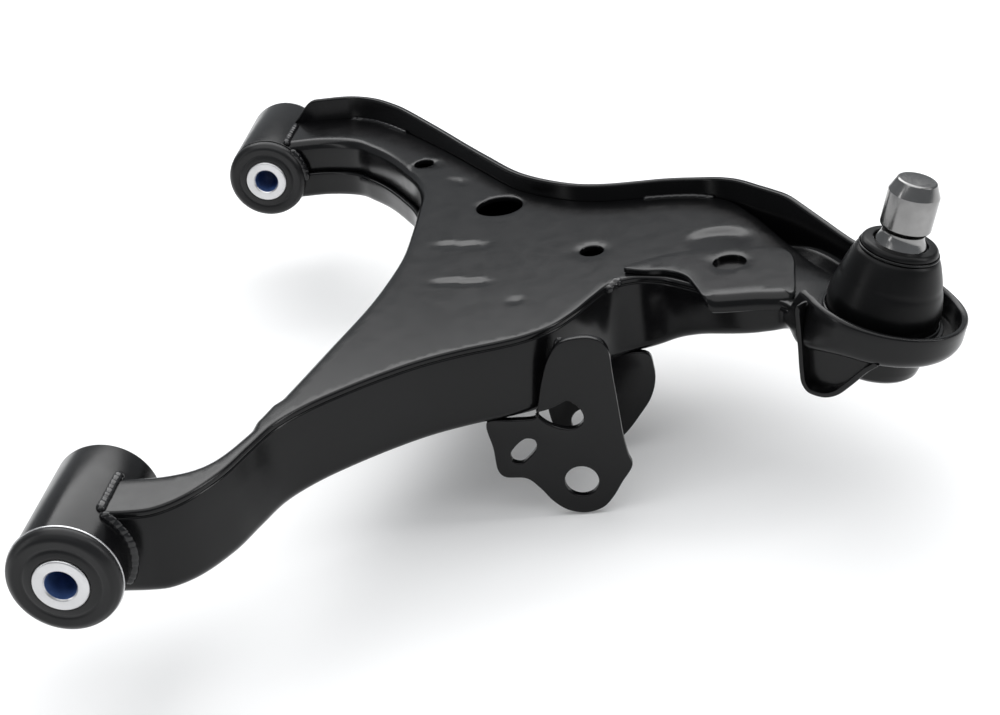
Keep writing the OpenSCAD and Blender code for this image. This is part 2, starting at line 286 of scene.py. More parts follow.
def fill(loops, step):
    """Triangles over the area inside loops[0] and outside the rest, with a grid of inner points."""
    outer = loops[0]
    lo, hi = outer.min(0), outer.max(0)
    xs = np.arange(lo[0] + step / 2, hi[0], step)
    ys = np.arange(lo[1] + step / 2, hi[1], step * 0.87)
    grid = np.array([(x + (step / 2 if j % 2 else 0), y) for j, y in enumerate(ys) for x in xs])
    edge = np.vstack(loops)
    if len(grid):
        keep = inside(grid, outer)
        for h in loops[1:]:
            keep &= ~inside(grid, h)
        grid = grid[keep]
        near = np.array([np.min(np.sum((edge - q) ** 2, 1)) for q in grid]) if len(grid) else []
        grid = grid[np.array(near) > (step * 0.55) ** 2] if len(grid) else grid
    verts = [Vector((float(a), float(b))) for a, b in np.vstack([edge, grid.reshape(-1, 2)])]
    edges, base = [], 0
    for h in loops:
        n = len(h)
        edges += [(base + i, base + (i + 1) % n) for i in range(n)]
        base += n
    got = delaunay_2d_cdt(verts, edges, [], 0, 1e-6)
    v = np.array([(a.x, a.y) for a in got[0]])
    tri = np.array([list(f)[:3] for f in got[2] if len(f) == 3])
    mid = v[tri].mean(1)
    keep = inside(mid, outer)
    for h in loops[1:]:
        keep &= ~inside(mid, h)
    return v, tri[keep]


def rings_faces(n, m, base=0, closed=False):
    f = []
    for j in range(m if closed else m - 1):
        k = (j + 1) % m
        for i in range(n):
            a, b = i, (i + 1) % n
            f.append((base + j * n + a, base + j * n + b, base + k * n + b, base + k * n + a))
    return f


class Build:
    def __init__(self):
        self.v, self.f = [], []

    def rings(self, rings, closed=False):
        base, n = len(self.v), len(rings[0])
        for r in rings:
            self.v += [tuple(p) for p in r]
        self.f += rings_faces(n, len(rings), base, closed)

    def cap(self, v, tri):
        base = len(self.v)
        self.v += [tuple(p) for p in v]
        self.f += [tuple(int(i) + base for i in t) for t in tri]


def plate(name, loops, t, place, material, body, bevel=0.7, step=8.0):
    """Flat sheet with rounded edges; loops[0] is the outline, the rest are holes."""
    b = Build()
    tops, bots = [], []
    for i, loop in enumerate(loops):
        loop = np.array(loop, float)
        if (area2(loop) > 0) != (i == 0):
            loop = loop[::-1]
        nrm = inward(loop)
        rings = []
        for a in np.linspace(0, 90, 5):
            c, s = math.cos(math.radians(a)), math.sin(math.radians(a))
            rings.append((bevel * (1 - s), t - bevel * (1 - c)))
        for a in np.linspace(0, 90, 5):
            c, s = math.cos(math.radians(a)), math.sin(math.radians(a))
            rings.append((bevel * (1 - c), bevel * (1 - s)))
        made = []
        for d, h in rings:
            q = loop + nrm * d
            made.append([place(x, y, h) for x, y in q])
        b.rings(made)
        tops.append(loop + nrm * bevel)
        bots.append(loop + nrm * bevel)
    v, tri = fill(tops, step)
    b.cap([place(x, y, t) for x, y in v], tri)
    b.cap([place(x, y, 0.0) for x, y in v], tri[:, ::-1])
    return finish_mesh(name, b.v, b.f, material, body)


def circle(cx, cy, r, n=64, rx=None):
    a = np.linspace(0, 2 * math.pi, n, endpoint=False)
    return np.stack([cx + (rx or r) * np.cos(a), cy + r * np.sin(a)], 1)


def fillet(prof, r, closed=True, steps=5):
    """Rounds each corner of a closed (r, h) profile. An entry may end in its own radius."""
    p = [(q[0], q[1], q[2] if len(q) > 2 else r) for q in prof]
    n, out = len(p), []
    for i in range(n):
        b = np.array(p[i][:2], float)
        if not closed and i in (0, n - 1):
            out.append(tuple(b))
            continue
        a, c = np.array(p[(i - 1) % n][:2], float), np.array(p[(i + 1) % n][:2], float)
        u, w = a - b, c - b
        lu, lw = np.linalg.norm(u), np.linalg.norm(w)
        u, w = u / (lu + 1e-9), w / (lw + 1e-9)
        d = min(p[i][2], lu * 0.45, lw * 0.45)
        if d < 0.02 or b[0] < 1e-6:
            out.append(tuple(b))
            continue
        s, e = b + u * d, b + w * d
        for t in np.linspace(0, 1, steps):
            out.append(tuple((1 - t) ** 2 * s + 2 * t * (1 - t) * b + t * t * e))
    return out


def turn(name, prof, origin, axis, material, body, n=144, angle=30.0, wobble=None):
    """A closed (r, h) profile turned about an axis through origin."""
    axis = np.array(axis, float) / np.linalg.norm(axis)
    u = np.array([0.0, 1.0, 0.0]) if abs(axis[1]) < 0.9 else np.array([1.0, 0.0, 0.0])
    u -= axis * u.dot(axis)
    u /= np.linalg.norm(u)
    w = np.cross(axis, u)
    rings = []
    for r, h in prof:
        ring = []
        for i in range(n):
            a = 2 * math.pi * i / n
            rr, hh = (r, h) if wobble is None else wobble(r, h, a)
            ring.append(np.array(origin) + axis * hh + (u * math.cos(a) + w * math.sin(a)) * rr)
        rings.append(ring)
    b = Build()
    b.rings(rings, closed=True)
    return finish_mesh(name, b.v, b.f, material, body, angle)


def smooth_step(a, b, x):
    t = np.clip((np.asarray(x, float) - a) / (b - a), 0, 1)
    return t * t * (3 - 2 * t)


# ---------------------------------------------------------------- arm outline
near_edge = [(4, -17), (16, -17.4), (28, -18), (38, -17), (50, -9), (63, 10), (71, 30), (79, 49),
             (91, 64), (106, 77), (124, 90), (141, 100), (160, 107.5), (178, 112.5), (190, 117),
             (202, 125), (212, 138), (221, 154), (229, 166), (240, 171), (254, 168), (266, 160),
             (280, 149), (293, 140.5), (304, 135), (312.5, 129.5)]
nose = [(BALL[0] + 41.14 * math.cos(math.radians(a)), BALL[1] + 39.5 * math.sin(math.radians(a)))
        for a in np.linspace(-166, 62, 28)]
far_edge = [(366, 163.5), (352, 177.5), (336, 201), (322, 222), (307, 242), (293, 259), (277, 269.5),
            (258, 273.6), (240, 274), (225, 274.5), (209, 278), (192, 287), (174, 302), (153, 331),
            (132, 362), (110, 392), (88, 420), (70, 438), (52, 447), (34, 448.6), (18, 448.4),
            (4, 448)]
inner_edge = [(4, 404), (20, 404), (36, 404), (57, 397), (68, 386), (81, 370), (96, 345),
              (104, 329), (110, 308), (111, 286), (111.3, 255), (110.5, 225), (106, 194),
              (100, 166), (87, 122), (75, 82), (63, 45), (50, 22), (37, 17), (20, 17), (4, 17)]


def tagged():
    """The outline, with each point's side: 0 near, 1 nose, 2 far, 3 inner."""
    pts, tag = [], []
    for k, part in enumerate((near_edge, nose, far_edge, inner_edge)):
        pts += [tuple(p) for p in part]
        tag += [k] * len(part)
    loop = spline(pts, 2.4)
    src = np.array(pts)
    tag = np.array(tag)
    near = np.array([tag[np.argmin(np.sum((src - q) ** 2, 1))] for q in loop])
    return loop, near


LOOP, SIDE = tagged()
NRM = inward(LOOP)
N = len(LOOP)


def soften(a, k):
    """Running mean round the closed outline."""
    a = np.array(a, float)
    out = np.zeros_like(a)
    for j in range(-k, k + 1):
        out += np.roll(a, j, 0)
    return out / (2 * k + 1)


lean_of = soften(np.where(SIDE == 1, TA, 0.0), 5)
LX, LY = LOOP[:, 0], LOOP[:, 1]


def plane_z(x, k):
    return BALL[2] + (k - (x - BALL[0]) * SA) / CA


def floor_z(x, y):
    x, y = np.asarray(x, float), np.asarray(y, float)
    kx = [-100, 245, 275, 312, 334, 420]
    kz = [-24, -24, -9, 1, plane_z(334, -4.4), plane_z(420, -4.4)]
    z = sum(np.interp(x + d, kx, kz) for d in (-9, -6, -3, 0, 3, 6, 9)) / 7
    return z + 7.0 * smooth_step(266, 344, y) * (1 - smooth_step(250, 300, x))


def bump2(x, y, cx, cy, rx, ry, turn_deg=0.0, power=2.0):
    a = math.radians(turn_deg)
    u = ((x - cx) * math.cos(a) + (y - cy) * math.sin(a)) / rx
    v = (-(x - cx) * math.sin(a) + (y - cy) * math.cos(a)) / ry
    return np.exp(-((u * u + v * v) ** power))


def dent(x, y, cx, cy, rx, ry, depth, turn_deg=0.0):
    """A flat-bottomed dent, shallow at its front edge and deepest at its rear edge."""
    a = math.radians(turn_deg)
    u = ((x - cx) * math.cos(a) + (y - cy) * math.sin(a)) / rx
    v = (-(x - cx) * math.sin(a) + (y - cy) * math.cos(a)) / ry
    mask = np.exp(-((u * u + v * v) ** 4))
    return -depth * mask * np.clip(1 + v, 0, 2) / 2


def deck_z(x, y):
    x, y = np.asarray(x, float), np.asarray(y, float)
    fold = 327.0
    kx = [-100, fold, 430]
    kz = [20.0, 20.0, plane_z(430, 2.0)]
    z = sum(np.interp(x + d, kx, kz) for d in (-6, -4, -2, 0, 2, 4, 6)) / 7
    z = z + dent(x, y, 284, 206, 15.5, 13.5, 1.9, -6)
    z = z + dent(x, y, 140, 229.6, 8.5, 3.6, 1.1, -12) + dent(x, y, 153, 227, 8.5, 3.4, 1.1, -12)
    z = z + dent(x, y, 145, 183.4, 9.0, 4.0, 1.2, -11) + dent(x, y, 158, 180.6, 9.0, 3.4, 1.2, -11)
    z = z + dent(x, y, 134, 318, 9, 4.4, 1.0, -50) + dent(x, y, 112, 347, 10, 9, 0.9, 0)
    z = z - 0.6 * bump2(x, y, 182, 156, 3.0, 3.0, 0, 2)
    z = z - 0.35 * bump2(x, y, 217.9, 207.9, 10.5, 10.5, 0, 3)
    z = z - 3.0 * smooth_step(300, 330, x) * smooth_step(150, 196, y)
    return z


def at(x, y, z, lean):
    return x + lean * (z - BALL[2]), y, z


def cope(p):
    """Ends the sheet inside the wall of whichever bush barrel it meets."""
    x, y, z = p
    for cy, r in ((0.0, 23.4), (REAR_Y, 22.9)):
        if abs(y - cy) < 60 and x < 30 and x * x + z * z < r * r:
            return (math.sqrt(max(r * r - z * z, 0.0)), y, z)
    return (max(x, 0.0), y, z)


# ---------------------------------------------------------------- lower shell
SHELL_T = 3.5        # sheet thickness of the lower stamping
FLOOR_BEND = 6.5     # outer bend radius where the wall meets the floor
rim = np.zeros(N)
for i in range(N):
    x, y = LX[i], LY[i]
    lift = 13.0 + 2.2 * (SIDE[i] == 2)
    if SIDE[i] == 1:
        lift += 2.2 * float(smooth_step(20, 62, math.degrees(math.atan2(y - BALL[1], x - BALL[0]))))
    plane = BALL[2] + (lift - (x - BALL[0]) * SA) / (lean_of[i] * SA + CA)
    if SIDE[i] == 0:
        rim[i] = 17.0
    elif SIDE[i] == 1:
        rim[i] = plane
    elif SIDE[i] == 2:
        h = float(np.interp(x, [4, 14, 24, 60, 90, 135, 175, 210, 275, 300, 322, 340, 360],
                            [14, 19, 33.6, 34.2, 34.2, 30, 29.4, 29, 29.4, 33, 35.4, 34, 30]))
        rim[i] = min(h, plane) if x > 322 else h
    else:
        rim[i] = 0.0
rim = soften(rim, 2)


def lower_shell():
    b = Build()
    foot = LOOP + NRM * FLOOR_BEND
    fz = floor_z(foot[:, 0] + lean_of * (floor_z(LX, LY) - BALL[2]), foot[:, 1])

    def ring(d, z):
        z = np.broadcast_to(z, (N,))
        q = LOOP + NRM * (np.broadcast_to(d, (N,)))[:, None]
        return [cope(at(q[i, 0], q[i, 1], z[i], lean_of[i])) for i in range(N)]

    rings = []
    for a in np.linspace(0, 90, 8):
        c, s = math.cos(math.radians(a)), math.sin(math.radians(a))
        rings.append(ring(FLOOR_BEND * (1 - s), fz + FLOOR_BEND * (1 - c)))
    low = fz + FLOOR_BEND
    for t in (0.33, 0.66):
        rings.append(ring(0, low + (rim - 1.2 - low) * t))
    for d, h in ((0, 1.2), (0.15, 0.6), (0.6, 0.15), (1.2, 0), (2.3, 0), (2.9, 0.15),
                 (3.35, 0.6), (3.5, 1.2)):
        rings.append(ring(d, rim - h))
    r2 = FLOOR_BEND - SHELL_T
    for a in np.linspace(90, 0, 6):
        c, s = math.cos(math.radians(a)), math.sin(math.radians(a))
        rings.append(ring(SHELL_T + r2 * (1 - s), fz + SHELL_T + r2 * (1 - c)))
    b.rings(rings)
    edge = np.array([(p[0], p[1]) for p in rings[0]])
    holes = [circle(BALL[0] - 4.4 * SA, BALL[1], 24.1, 90, 24.1 * CA)]
    v, tri = fill([edge] + [h[::-1] for h in holes], 9.0)
    et = np.array([p[2] for p in rings[0]])

    def zof(v):
        z = floor_z(v[:, 0], v[:, 1])
        for k in range(len(v)):
            d = np.sum((edge - v[k]) ** 2, 1)
            j = int(np.argmin(d))
            if d[j] < 1e-6:
                z[k] = et[j]
        return z

    z = zof(v)
    b.cap(np.column_stack([v, z]), tri)
    b.cap(np.column_stack([v, z + SHELL_T]), tri[:, ::-1])
    for h in holes:
        hz = floor_z(h[:, 0], h[:, 1])
        b.rings([np.column_stack([h, hz]), np.column_stack([h, hz + SHELL_T])])
    ob = finish_mesh("lower_shell_sheet", b.v, b.f, M_PAINT, "arm", 38, 0.02)
    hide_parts("lower_shell")


lower_shell()


# ---------------------------------------------------------------- upper plate
def upper_plate():
    tu = 3.0
    away = np.interp(LX, [292, 307, 322, 336, 352, 366, 376], [3.55, 5.0, 10.5, 14.0, 18.0, 10.0, 3.55])
    far_out = (SIDE == 2) & (LX > 292)
    inset = soften(np.where(SIDE == 0, 0.0, np.where(far_out, away, 3.55)), 4)
    # the near side laps the wall, the others sit inside it
    fold = (SIDE == 2) & (LX > 300) & (LX < 364)
    bend = soften(np.where(SIDE == 3, 5.8, np.where(SIDE == 0, 1.5, np.where(fold, 4.5, 1.6))), 4)
    deep = soften(np.where(SIDE == 3, 27.0, np.where(fold, 11.0, 2.9)), 4)
    b = Build()

    def ring(d, h):
        d, h = np.broadcast_to(d, (N,)), np.broadcast_to(h, (N,))
        q = LOOP + NRM * d[:, None]
        x = q[:, 0].copy()
        for _ in range(3):
            z = deck_z(x, q[:, 1])
            x = q[:, 0] + lean_of * (z - BALL[2])
        return [cope((x[i] - lean_of[i] * h[i], q[i, 1], z[i] - h[i])) for i in range(N)]

    rings = []
    for a in np.linspace(0, 90, 7):
        c, s = math.cos(math.radians(a)), math.sin(math.radians(a))
        rings.append(ring(inset + bend * (1 - s), bend * (1 - c)))
    rings.append(ring(inset, np.maximum(deep - 0.4, bend)))
    rings.append(ring(inset + 0.3, deep))
    rings.append(ring(inset + tu - 0.3, deep))
    rings.append(ring(inset + tu, np.maximum(deep - 0.4, tu)))
    rings.append(ring(inset + tu, np.maximum(bend, tu)))
    rings.append(ring(inset + np.maximum(bend, tu), tu + 0 * bend))
    b.rings(rings)
    top = np.array(rings[0])
    bot = np.array(rings[-1])
    holes = [(163.0, 277.3, 12.9, 12.9), (217.9, 207.9, 6.2, 6.2), (110.5, 353.0, 5.6, 5.6),
             (BALL[0] + 2 * SA, BALL[1], 24.0, 24.0 * CA)]
    tops, bots = [top[:, :2]], [bot[:, :2]]
    for cx, cy, ry, rx in holes:
        rows = []
        for d, h in ((0.8, 0.0), (0.35, 0.12), (0.1, 0.4), (0.0, 0.9), (0.0, 2.6), (0.4, 3.0)):
            c = circle(cx, cy, ry + d, 72, rx + d)
            rows.append(np.column_stack([c, deck_z(c[:, 0], c[:, 1]) - h]))
        b.rings(rows)
        tops.append(rows[0][::-1, :2])
        bots.append(rows[-1][::-1, :2])
    for loops, h, ref in ((tops, 0.0, top), (bots, tu, bot)):
        v, tri = fill(loops, 3.2 if h == 0 else 12.0)
        z = deck_z(v[:, 0], v[:, 1]) - h
        for k in range(len(v)):
            d = np.sum((ref[:, :2] - v[k]) ** 2, 1)
            j = int(np.argmin(d))
            if d[j] < 1e-6:
                z[k] = ref[j, 2]
        b.cap(np.column_stack([v, z]), tri if h == 0 else tri[:, ::-1])
    ob = finish_mesh("upper_plate_sheet", b.v, b.f, M_PAINT, "arm", 38, 0.02)
    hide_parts("upper_plate")


upper_plate()


# ---------------------------------------------------------------- saddle plate
def saddle():
    pts = [(236, 177), (240, 174.5), (246, 172), (258, 169.5), (267, 162), (272, 149), (275, 139),
           (277.5, 134.5), (283, 133), (300, 132.4), (314, 130.6), (318.2, 131.6), (319.6, 138),
           (320.4, 156), (320.8, 170), (319, 179), (314, 185.5), (306, 188.3), (290, 189.8),
           (270, 191), (255, 188), (245, 183.5), (238.5, 180)]
    loop = spline(pts, 1.6)
    nrm = inward(loop)
    b = Build()
    n = len(loop)
    # the front edge is turned down over the fold
    drop = smooth_step(140.5, 134.6, loop[:, 1]) * smooth_step(274, 280, loop[:, 0])
    drop = drop * (1 - smooth_step(317.5, 319.4, loop[:, 0]))

    def ring(d, z):
        q = loop + nrm * np.broadcast_to(d, (n,))[:, None]
        return np.column_stack([q, np.broadcast_to(z, (n,))])

    bev = 0.9 + 5.2 * drop
    low = 20.05 - 5.05 * drop
    rings = []
    for a in np.linspace(0, 90, 7):
        c, s = math.cos(math.radians(a)), math.sin(math.radians(a))
        rings.append(ring(bev * (1 - s), 23.0 - bev * (1 - c)))
    rings.append(ring(0, low + 0.5))
    rings.append(ring(0.5, low))
    rings.append(ring(2.2, low))
    rings.append(ring(2.9, 20.05))
    b.rings(rings)
    rows = []
    for d, z in ((0.9, 23.0), (0.35, 22.87), (0.08, 22.5), (0.0, 22.0), (0.0, 20.05)):
        c = circle(289, 173, 8.2 + d)
        rows.append(np.column_stack([c, np.full(len(c), z)]))
    b.rings(rows)
    v, tri = fill([rings[0][:, :2], rows[0][::-1, :2]], 5.0)
    b.cap(np.column_stack([v, np.full(len(v), 23.0)]), tri)
    v, tri = fill([rings[-1][:, :2], rows[-1][::-1, :2]], 9.0)
    b.cap(np.column_stack([v, np.full(len(v), 20.05)]), tri[:, ::-1])
    ob = finish_mesh("saddle_sheet", b.v, b.f, M_PAINT, "arm", 38)
    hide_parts("saddle_plate")


saddle()


# ---------------------------------------------------------------- damper lugs
def upright(y, t):
    return lambda u, v, h: (u, y + t - h, v)


def lugs():
    front = spline([(165.5, -24.1), (166.5, -40), (167.3, -53), (170, -56.3), (181, -58.2), (187, -64.5),
                    (192.5, -72.5), (199, -78), (208, -80.4), (217, -78), (222.5, -72.5),
                    (228, -64), (234, -54.5), (232.6, -49), (231.2, -38), (230.4, -20),
                    (229.6, -2), (229.2, 9), (227, 14.5), (221.5, 17.6), (213, 18), (206, 16.2),
                    (200, 9), (195, -4), (191.5, -18), (190, -23.5), (178, -24.2)], 1.5)
    slot = spline([(183.5, -35.2), (187.6, -36.5), (187.9, -40.6), (183, -46.5), (179.3, -49),
                   (175.2, -47.6), (174.6, -43.5), (178.8, -38)], 0.9)
    arch = spline([(190.5, -21.5), (193.5, -26.2), (198, -29.3), (204, -31.4), (209.4, -30.8),
                   (212.8, -27.4), (212.6, -22.6), (209.6, -18), (206, -15.6), (201.5, -17.6),
                   (196, -19.8)], 1.0)
    f = plate("damper_lug_front", [front, circle(208, -61.8, 8.5), slot, arch], 4.0,
              upright(113.0, 4.0), M_PAINT, "arm", 0.7, 6.0)
    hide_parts("damper_front_lug")
    rear = spline([(187, -23.9), (187.6, -36), (188.2, -50), (190.3, -63), (197, -75.3),
                   (208, -79.6), (219, -76.6), (227.5, -70), (236.5, -59), (242.6, -50),
                   (245.8, -40), (245.8, -32), (243.6, -24.1), (215, -24)], 1.8)
    r = plate("damper_lug_rear", [rear, circle(208, -61.8, 8.5)], 4.0,
              upright(171.0, 4.0), M_PAINT, "arm", 0.7, 8.0)
    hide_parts("damper_rear_lug")


lugs()


# ---------------------------------------------------------------- steering stop
def stop():
    a = math.radians(-32.7)
    dx, dy = math.cos(a), math.sin(a)

    def place(w, z, h):
        # h runs forward from the back of the web
        q = 8.0 - h
        return (318 + dx * w - dy * q, 104 + dy * w + dx * q, z)

    pts = [(0.0, 28), (0.0, 18), (0.0, 6), (0.0, -4), (0.6, -10.5), (3.4, -14.6), (8, -15.8),
           (13.5, -15.5), (19.5, -12.8), (26.5, -6.6), (36, 3.0), (42, 8.3), (41, 10.2),
           (30, 11.4), (15, 12.6), (8.5, 13.8), (6.4, 18), (5.9, 24), (5.4, 29.5), (3.4, 31),
           (1.0, 30.4)]
    loop = spline(pts, 1.0)
    n = len(loop)
    nrm = inward(loop)
    wall = 8.0 - 5.2 * smooth_step(7.5, 9.8, loop[:, 1]) * smooth_step(1.2, 4.6, loop[:, 0])
    b = Build()

    def ring(d, h):
        q = loop + nrm * np.broadcast_to(d, (n,))[:, None]
        h = np.broadcast_to(h, (n,))
        return [place(q[i, 0], q[i, 1], h[i]) for i in range(n)]

    rings = []
    for t in np.linspace(0, 90, 6):
        c, s = math.cos(math.radians(t)), math.sin(math.radians(t))
        rings.append(ring(2.6 * (1 - s), 2.6 * (1 - c)))
    rings += [ring(0, wall - 0.6), ring(0.2, wall - 0.15), ring(0.7, wall), ring(1.9, wall),
              ring(2.4, wall - 0.2), ring(2.6, np.maximum(wall - 0.6, 2.7)), ring(2.7, 2.65)]
    b.rings(rings)
    v, tri = fill([loop + nrm * 2.6], 3.0)
    b.cap([place(x, y, 0.0) for x, y in v], tri[:, ::-1])
    v, tri = fill([loop + nrm * 2.7], 3.0)
    b.cap([place(x, y, 2.65) for x, y in v], tri)
    ob = finish_mesh("steering_stop_dish", b.v, b.f, M_PAINT, "arm", 38)
    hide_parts("steering_stop")


stop()


# ---------------------------------------------------------------- bushes
def bush(cy, r, key):
    o, ax = (0, cy, 0), (0, 1, 0)
    wall = 3.5
    ob = turn(key + "_barrel_tube", fillet([(r - wall, -34), (r, -34), (r, 34), (r - wall, 34)], 0.7),
              o, ax, M_PAINT, "arm")
    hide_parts(key + "_barrel")
    ri = r - wall
    if key == "front":
        prof = [(ri - 1.6, -35.1), (r + 0.9, -35.1), (r + 1.0, -34.8, 0.2), (r + 1.0, -34.15, 0.2),
                (ri, -34.05, 0.1), (ri, 34), (ri - 1.6, 34)]
    else:
        prof = [(ri - 1.6, -33), (ri, -33), (ri, 34), (r - 0.6, 34.1), (r - 0.6, 36),
                (ri - 1.6, 36)]
    ob = turn(key + "_sleeve_shell", fillet(prof, 0.35), o, ax, M_ZINC, "arm")
    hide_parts(key + "_bush_sleeve")
    c = 12.75
    if key == "front":
        prof = [(c, -40.9), (c + 1.2, -41), (16.2, -40.6), (17.4, -40.0, 0.5), (18.4, -40.4),
                (21.6, -40.9), (23.0, -40.3), (24.9, -38.6), (25.6, -36.9), (25.6, -35.15, 0.1),
                (ri - 1.65, -35.1, 0.1), (ri - 1.65, 33.2), (ri - 5.5, 31), (16.2, 35.4), (c, 36)]
    else:
        prof = [(c, -40.9), (c + 1.2, -41), (16.0, -40.6), (17.0, -39.9, 0.5), (18.0, -40.4),
                (20.9, -40.9), (22.3, -40.2), (23.9, -38.4), (24.4, -36.6), (24.4, -34.7),
                (ri - 0.2, -34.6, 0.1), (ri - 0.2, -33.1, 0.1), (ri - 1.65, -33, 0.1),
                (ri - 1.65, 34.2),
                (ri - 5.5, 32), (16.2, 36.6), (c, 37)]
    ob = turn(key + "_rubber_bonded", fillet(prof, 0.9), o, ax, M_RUBBER, "arm")
    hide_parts(key + "_bush_rubber")
    ob = turn(key + "_crush_tube_steel",
              fillet([(7.1, -41.2, 0.1), (7.9, -42, 0.1), (12.1, -42, 0.4),
                      (12.7, -41.4, 0.4), (12.7, 41.4, 0.4), (12.1, 42, 0.4), (7.9, 42, 0.1), (7.1, 41.2, 0.1)], 0.2),
              o, ax, M_ZINC, key + "_tube")
    # Second slot: the bore's bluish colour, brightened as painted light.
    ob.data.materials.append(M_BORE_TINT_PAINTED_LIGHT)
    bore_r = 7.4 * MM    # faces nearer the axis than this line the bore
    for p in ob.data.polygons:
        c0 = p.center
        if math.hypot(c0.x, c0.z) < bore_r:
            p.material_index = 1
    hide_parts(key + "_crush_tube")


bush(0.0, 25.0, "front")
bush(REAR_Y, 24.5, "rear")


# ---------------------------------------------------------------- ball joint
def ball_joint():
    o = tuple(BALL)
    prof = [(18.55, -19.2), (18.55, 7.6), (15.4, 7.6), (17.2, 9.4), (21.2, 9.4), (22, 8.6), (22, 5),
            (30, 5), (30, 2.05), (24, 2.05), (24, -15.5), (23.4, -18.4), (21.4, -20.4), (19.4, -20.6),
            (17, -20.6), (17, -19.2)]
    ob = turn("ball_housing_forged", fillet(prof, 0.6), o, AXIS, M_PAINT, "arm")
    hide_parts("ball_housing")
    prof = [(0, -18), (9.5, -18), (12, -19.2), (18.5, -19.2), (18.5, -16.9), (0, -16.9)]
    ob = turn("housing_cover_pressed", fillet(prof, 0.8), o, AXIS, M_PAINT, "arm")
    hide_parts("housing_cover")
    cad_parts["preload_disc"].data.materials.clear()
    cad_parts["preload_disc"].data.materials.append(M_SPRING)
    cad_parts["bearing_liner"].data.materials.clear()
    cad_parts["bearing_liner"].data.materials.append(M_LINER)
    # stud: sphere arc, shank, collar, neck and clamped pin
    arc = [(16 * math.sin(math.radians(a)), -16 * math.cos(math.radians(a)))
           for a in np.linspace(0, 150, 26)]
    prof = arc + [(8, 14.5, 2), (8, 29, 4), (14.6, 36.4, 0.8), (15.5, 37.6, 0.5), (15.5, 42.2, 0.3),
                  (12.4, 42.4, 0.3), (10.4, 46.2, 1.6), (10, 47.6, 1), (10, 49.2, 0.6),
                  (11.6, 50.8, 0.5), (12, 51.5, 0.5), (12, 68, 0.25), (9.2, 74.0, 0.3),
                  (8.4, 74.3, 0.25), (0, 74.3)]
    ob = turn("ball_stud_turned", fillet(prof, 0.1, closed=False), o, AXIS, M_STEEL, "stud",
              180, 22.0)
    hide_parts("ball_stud")
    for name in ("boot_slip_ring", "boot_garter_ring", "boot_base_ring"):
        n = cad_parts[name]
        n.data.materials.clear()
        n.data.materials.append(M_SPRING if name == "boot_slip_ring" else M_PAINT)
    prof = [(22.3, 5.2, 0.1), (25.6, 5.2, 0.3), (26.4, 5.6, 0.3), (26.4, 7.6, 0.3), (26.8, 8.8, 0.6),
            (26.95, 11.5, 1.5), (26.7, 15, 2.5), (25.5, 20.5, 2.5), (24.0, 26, 2.5), (22.3, 31.4, 2.5),
            (20.8, 35.5, 2), (19.8, 37.5, 0.7), (18.9, 38.5, 0.4), (17.9, 39.0, 0.2), (17.9, 40.2, 0.3),
            (18.3, 40.6, 0.3), (18.1, 41.8, 0.5), (17.0, 43.1, 0.7), (13.2, 43.5, 0.3), (12.9, 42.8, 0.2),
            (16.62, 42.65, 0.1), (16.62, 38), (17.6, 37), (19.4, 33.4, 1.5), (20.8, 29, 2), (22.3, 24, 2),
            (23.7, 18.4, 2), (24.6, 14, 2), (24.5, 10.8, 1), (23.8, 9.3, 0.5), (22.3, 8.6, 0.2)]

    def crease(r, h, a):
        w = math.exp(-((h - 24.5) / 1.1) ** 2) * 0.30 + math.exp(-((h - 33.0) / 0.9) ** 2) * 0.18
        return (r - w if r > 22 else r), h

    ob = turn("dust_boot_moulded", dense(fillet(prof, 0.3), 0.7), o, AXIS, M_BOOT,
              None, 144, 40.0, crease)
    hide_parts("dust_boot")
    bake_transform(ob)


def dense(prof, step):
    out = []
    n = len(prof)
    for i in range(n):
        a, b = np.array(prof[i]), np.array(prof[(i + 1) % n])
        k = max(1, int(np.linalg.norm(b - a) / step))
        for j in range(k):
            out.append(tuple(a + (b - a) * j / k))
    return out


ball_joint()


# ---------------------------------------------------------------- welds
def weld(name, path, r, replaced=None, pitch=3.4, flat=0.75, up=(0, 0, 1), seed=1):
    p = spline(path, 0.6, closed=False)
    n = len(p)
    s = np.concatenate([[0], np.cumsum(np.linalg.norm(np.diff(p, axis=0), axis=1))])
    t = np.gradient(p, axis=0)
    t /= np.linalg.norm(t, axis=1)[:, None]
    up = np.array(up, float)
    rng = np.random.RandomState(seed)
    wob = np.interp(s, np.linspace(0, s[-1], 9), rng.uniform(-0.10, 0.10, 9))
    k = 20
    rings = []
    for i in range(n):
        side = np.cross(t[i], up)
        side /= np.linalg.norm(side) + 1e-9
        nn = np.cross(side, t[i])
        edge = min(s[i], s[-1] - s[i])
        taper = math.sqrt(max(0.0, 1 - (1 - min(edge / (r * 1.3), 1)) ** 2))
        ph = (s[i] % pitch) / pitch
        dime = 1.0 - 0.16 * (1 - ph) ** 3 + 0.03 * ph
        rr = r * taper * dime * (1 + wob[i]) + 0.01
        rings.append([p[i] + (side * math.cos(a) + nn * math.sin(a) * flat) * rr
                      + t[i] * (1.3 * math.cos(a) ** 2 - 0.9) * min(1, edge / 3)
                      for a in np.linspace(0, 2 * math.pi, k, endpoint=False)])
    b = Build()
    b.rings(rings)
    b.f.append(tuple(range(k)))
    m = (n - 1) * k
    b.f.append(tuple(range(m + k - 1, m - 1, -1)))
    ob = finish_mesh(name, b.v, b.f, M_WELD, "arm", 60)
    if replaced:
        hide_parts(replaced)
    return ob


def around(cy, r, y_off, a0, a1, n=9):
    return [(r * math.sin(math.radians(a)), cy + y_off, r * math.cos(math.radians(a)))
            for a in np.linspace(a0, a1, n)]


